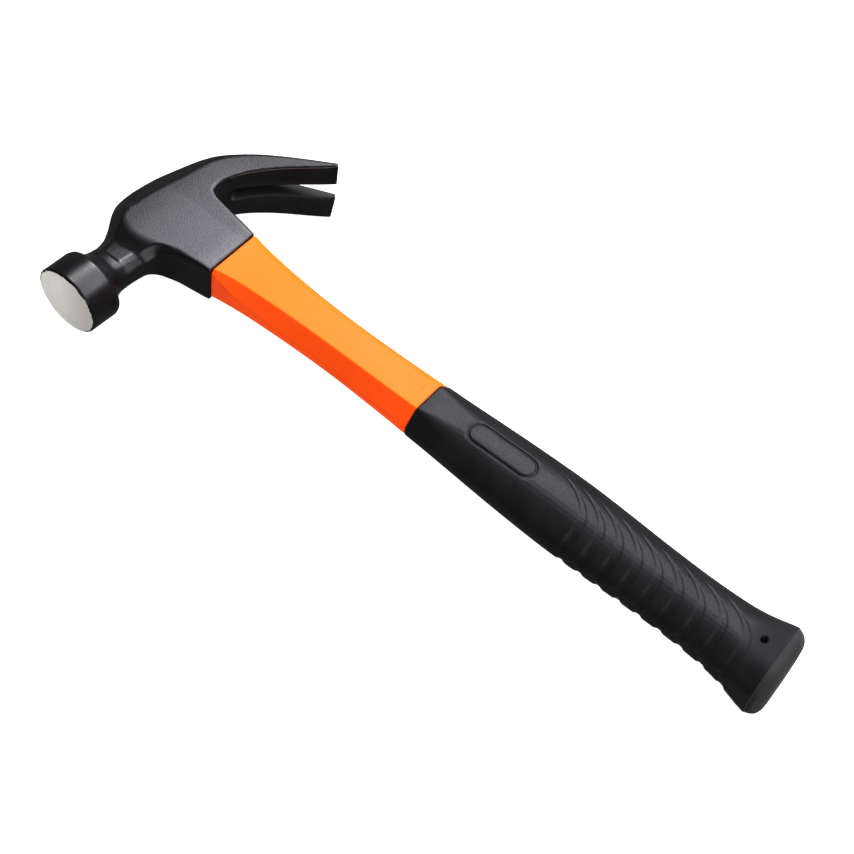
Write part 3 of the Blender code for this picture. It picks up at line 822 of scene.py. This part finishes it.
def lacquered_steel():
    """Black lacquer, dull on the forged cheeks with painted light towards the mouth and painted shade
    towards the crown and the claw tips, with the striking face ground bare.
    """
    look = Look(
        "black_lacquer", IOR=1.5, Specular_IOR_Level=0.26, Specular_Tint=LACQUER_TINT
    )
    x, y, z = look.axes
    square = look.math("ADD", look.math("MULTIPLY", x, x), look.math("MULTIPLY", z, z))
    radius = look.math("SQRT", square)
    ragged = look.math("SUBTRACT", look.noise(0.35, 4.0), 0.5)
    ragged = look.math("MULTIPLY", ragged, GROUND_RAGGED)
    inside = look.math("ADD", radius, ragged)
    inside = look.ramp(inside, GROUND_RADIUS, GROUND_RADIUS + 0.2, 1.0, 0.0)
    front = look.ramp(y, FACE_Y + GROUND_DEPTH, FACE_Y + GROUND_DEPTH - 0.2)
    bare = look.math("MULTIPLY", inside, front)
    flat = look.ramp(look.math("ABSOLUTE", look.normal[2]), 0.9, 0.985)
    outer = look.ramp(look.math("ABSOLUTE", z), *FORGED_Z)
    forged = look.math("MULTIPLY", look.math("MULTIPLY", flat, outer), look.ramp(y, *FORGED_Y))
    grain = look.noise(1.5, 3.0, 0.6)
    cloud = look.noise(0.09, 3.0, 0.6)
    scratches = look.noise(0.9, 2.0, 0.6, (1.0, 1.0, 0.12))
    coat = look.mix(look.ramp(cloud, 0.35, 0.65), grey(0.0025), grey(0.0045))
    # The cheeks' dull lacquer grey, partly their finish and partly painted light: lighter towards the
    # mouth, with painted shade towards the crown and the claw tips
    matt_and_painted_light = look.math("MULTIPLY", look.ramp(y, *CLAW_PAINTED_SHADE_Y), look.ramp(x, *CHEEK_PAINTED_LIGHT_X, 0.1, 1.0))
    matt_and_painted_light = look.math("MULTIPLY", matt_and_painted_light, forged)
    matt_and_painted_light = look.math("MULTIPLY", matt_and_painted_light, look.ramp(grain, 0.2, 0.8, 0.8, 1.2))
    coat = look.mix(matt_and_painted_light, coat, MATT_LACQUER)
    steel = look.mix(look.ramp(scratches, 0.3, 0.7), GROUND_STEEL, SCRATCHED_STEEL)
    steel = look.mix(look.ramp(x, -8.0, 15.0), steel, SHADED_STEEL)
    look.set("Base Color", look.mix(bare, coat, steel))
    look.set("Metallic", look.blend(bare, 0.0, 0.4))
    dulled = look.ramp(y, *BELL_DULL_Y, 0.0, 0.1)
    smooth = look.math("ADD", look.ramp(cloud, 0.3, 0.7, 0.18, 0.26), dulled)
    gloss = look.blend(forged, smooth, look.ramp(grain, 0.3, 0.7, 0.33, 0.42))
    walls = look.ramp(look.math("ABSOLUTE", z), *SLOT_WALL_Z)
    walls = look.math("MULTIPLY", walls, look.ramp(y, *SLOT_WALL_Y))
    gloss = look.blend(walls, gloss, 0.6)
    look.set("Roughness", look.blend(bare, gloss, look.ramp(scratches, 0.3, 0.7, 0.4, 0.55)))
    relief = look.blend(forged, look.math("MULTIPLY", look.noise(0.45, 2.0), 0.35), grain)
    look.bump(look.blend(bare, relief, look.math("MULTIPLY", scratches, 0.03)), 0.11)
    return look.material


# Painted light and painted shade: two tones for the lit flat faces and two for the darker, redder
# shaded front faces, which a slow noise mixes
ORANGE_PAINTED_SHADE = ((0.84, 0.064, 0.006, 1.0), (0.88, 0.076, 0.007, 1.0))
ORANGE_PAINTED_LIGHT = ((0.89, 0.120, 0.006, 1.0), (0.92, 0.134, 0.007, 1.0))


def orange_plastic():
    """Moulded orange plastic with a faint orange-peel skin, and painted shade that makes its sloping
    front faces darker and redder.
    """
    look = Look(
        "orange_plastic",
        IOR=1.48,
        Specular_IOR_Level=0.025,
        Subsurface_Weight=0.12,
        Subsurface_Scale=0.002,
        Subsurface_Radius=(1.0, 0.35, 0.1),
    )
    cloud = look.noise(0.05, 3.0, 0.55)
    skin = look.noise(0.8, 2.0, 0.55)
    # Painted shade: faces that slope to the front, away from the light, get the darker, redder
    # orange, while the lit flat faces and the back faces get the lighter one
    painted_lit_share = look.ramp(look.math("ABSOLUTE", look.normal[2]), 0.85, 0.97)
    painted_lit_share = look.math("MAXIMUM", painted_lit_share, look.ramp(look.normal[1], 0.0, 0.15))
    painted_shade_orange = look.mix(cloud, *ORANGE_PAINTED_SHADE)
    look.set("Base Color", look.mix(painted_lit_share, painted_shade_orange, look.mix(cloud, *ORANGE_PAINTED_LIGHT)))
    look.set("Roughness", look.ramp(skin, 0.3, 0.7, 0.26, 0.32))
    look.bump(skin, 0.008)
    return look.material


RUBBER_TINT = (0.88, 0.88, 1.0, 1.0)
RUBBER_BLOOM = (0.9, 0.95, 1.0, 1.0)
BUTT_PAINTED_LIGHT_X = (291.0, 293.0)
FLARE_X = (276.0, 290.0)


def black_rubber():
    """Black rubber with a fine mottled grain, duller on the flare and on the narrow edges, with
    painted light on the butt's end face.
    """
    look = Look(
        "black_rubber",
        IOR=1.5,
        Specular_IOR_Level=0.14,
        Specular_Tint=RUBBER_TINT,
        Sheen_Weight=0.03,
        Sheen_Roughness=0.4,
        Sheen_Tint=RUBBER_BLOOM,
    )
    x, _, _ = look.axes
    grain = look.noise(1.3, 3.0, 0.65)
    cloud = look.noise(0.07, 3.0, 0.6)
    slope = look.ramp(look.math("ABSOLUTE", look.normal[1]), 0.72, 0.88)
    # Painted light: the butt's end face, which faces +X, is given a lighter grey
    butt = look.math("MULTIPLY", look.ramp(look.normal[0], 0.2, 0.4), look.ramp(x, *BUTT_PAINTED_LIGHT_X))
    flare = look.ramp(x, *FLARE_X)
    skin = look.mix(look.ramp(cloud, 0.3, 0.7), grey(0.0035), grey(0.006))
    look.set("Base Color", look.mix(butt, skin, grey(0.02)))
    gloss = look.blend(slope, look.ramp(grain, 0.3, 0.7, 0.44, 0.52), 0.62)
    look.set("Roughness", look.blend(flare, gloss, 0.72))
    look.bump(look.math("MULTIPLY", grain, look.blend(slope, 0.35, 1.0)), 0.08)
    return look.material


EPOXY_SHADES = ((0.30, 0.20, 0.09, 1.0), (0.50, 0.38, 0.20, 1.0))


def amber_epoxy():
    """Cured epoxy with clouds and small pits."""
    look = Look("epoxy", IOR=1.55, Subsurface_Weight=0.2, Subsurface_Scale=0.002)
    cloud = look.noise(0.25, 4.0, 0.6)
    pits = look.noise(1.2, 2.0, 0.5)
    look.set("Base Color", look.mix(cloud, *EPOXY_SHADES))
    look.set("Roughness", look.ramp(pits, 0.3, 0.7, 0.3, 0.5))
    look.bump(pits, 0.1)
    return look.material


FIBREGLASS_SHADES = ((0.48, 0.42, 0.22, 1.0), (0.72, 0.68, 0.48, 1.0))
FIBRE_STRETCH = (0.03, 1.0, 1.0)


def fibreglass():
    """Pultruded rod: long glass fibres along its axis, in resin."""
    look = Look("fibreglass", IOR=1.52)
    fibres = look.noise(1.6, 3.0, 0.6, FIBRE_STRETCH)
    look.set("Base Color", look.mix(fibres, *FIBREGLASS_SHADES))
    look.set("Roughness", look.ramp(fibres, 0.3, 0.7, 0.35, 0.55))
    look.bump(fibres, 0.05)
    return look.material


def dress(thing, material, slot, *nodes):
    """Give a piece its material, in place of the CAD nodes it stands for. The slot argument is not
    used.
    """
    thing.data.materials.clear()
    thing.data.materials.append(material)
    if nodes:
        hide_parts(*nodes)


dress(
    placed("hammer_head_visual", *surface(head, HEAD_LOW, HEAD_HIGH, HEAD_STEP)),
    lacquered_steel(),
    "black_lacquer",
    "hammer_head",
)
dress(handle_jacket(), orange_plastic(), "orange_plastic", "handle_jacket")
dress(rubber_grip(), black_rubber(), "black_rubber", "rubber_grip")
dress(
    placed("eye_epoxy_visual", *surface(epoxy, EPOXY_LOW, EPOXY_HIGH, HEAD_STEP)),
    amber_epoxy(),
    "epoxy",
    "eye_epoxy",
)
dress(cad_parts["core_rod"], fibreglass(), "fibreglass")


# Camera, in the drawing frame
CAMERA_PLACE = (348.7, -361.6, 616.3)
CAMERA_AIM = (138.6, -5.6, 0.0)
CAMERA_ROLL = 10.98
CAMERA_LENS = 82.56
CAMERA_SENSOR = 36.0

FLOOR_HALF = 6.0  # metres
FLOOR_GREY = 0.3
FLOOR_GLOW = 1.0
WORLD_STRENGTH = 0.12
WHITE = (1.0, 1.0, 1.0, 1.0)

# Soft lights: name, place and aim in the drawing frame, size in metres, and watts
LIGHTS = [
    ("key", (265.0, 390.0, 600.0), (265.0, 390.0, 0.0), (1.07, 0.48), 17.4),
    ("top", (-110.0, 352.0, 600.0), (100.0, 0.0, 0.0), (0.18, 0.18), 3.6),
    ("glint", (-290.0, 355.0, 600.0), (20.0, 0.0, 0.0), (0.08, 0.08), 0.2),
    ("fill", (700.0, -500.0, 500.0), (120.0, 0.0, 0.0), (0.6, 0.6), 4.0),
]


def in_row(place):
    return Vector(np.array(place) * MM + ORIGIN)


def aimed(place, aim, roll=0.0):
    """A pose at place that looks at aim, turned by roll degrees about its line of sight."""
    place, aim = in_row(place), in_row(aim)
    look = (aim - place).to_track_quat("-Z", "Y").to_matrix().to_4x4()
    return Matrix.Translation(place) @ look @ Matrix.Rotation(math.radians(roll), 4, "Z")


def add_camera():
    data = bpy.data.cameras.new("camera")
    data.lens = CAMERA_LENS
    data.sensor_width = CAMERA_SENSOR
    data.clip_start = 0.01
    camera = bpy.data.objects.new("camera", data)
    camera.matrix_world = aimed(CAMERA_PLACE, CAMERA_AIM, CAMERA_ROLL)
    bpy.context.scene.collection.objects.link(camera)
    bpy.context.scene.camera = camera


def add_softbox(name, place, aim, size, power):
    data = bpy.data.lights.new(name, "AREA")
    data.shape = "RECTANGLE"
    data.size, data.size_y = size
    data.energy = power
    light = bpy.data.objects.new(name, data)
    light.matrix_world = aimed(place, aim)
    light.visible_camera = False
    bpy.context.scene.collection.objects.link(light)


def add_floor():
    """A pale, evenly lit floor that the hammer lies on."""
    mesh = bpy.data.meshes.new("floor")
    corners = [(-1, -1), (1, -1), (1, 1), (-1, 1)]
    points = [(FLOOR_HALF * x, FLOOR_HALF * y, 0.0) for x, y in corners]
    mesh.from_pydata(points, [], [(0, 1, 2, 3)])
    floor = bpy.data.objects.new("floor", mesh)
    bpy.context.scene.collection.objects.link(floor)
    material = bpy.data.materials.new("floor")
    material.use_nodes = True
    shader = material.node_tree.nodes["Principled BSDF"]
    shader.inputs["Base Color"].default_value = (FLOOR_GREY, FLOOR_GREY, FLOOR_GREY, 1.0)
    shader.inputs["Roughness"].default_value = 0.9
    shader.inputs["Specular IOR Level"].default_value = 0.0
    shader.inputs["Emission Color"].default_value = WHITE
    shader.inputs["Emission Strength"].default_value = FLOOR_GLOW
    mesh.materials.append(material)
    floor.visible_glossy = False


def add_world():
    world = bpy.data.worlds.new("studio")
    world.use_nodes = True
    background = world.node_tree.nodes["Background"]
    background.inputs["Color"].default_value = WHITE
    background.inputs["Strength"].default_value = WORLD_STRENGTH
    bpy.context.scene.world = world


add_camera()
add_floor()
add_world()
for light in LIGHTS:
    add_softbox(*light)
bpy.context.scene.view_settings.view_transform = "Standard"
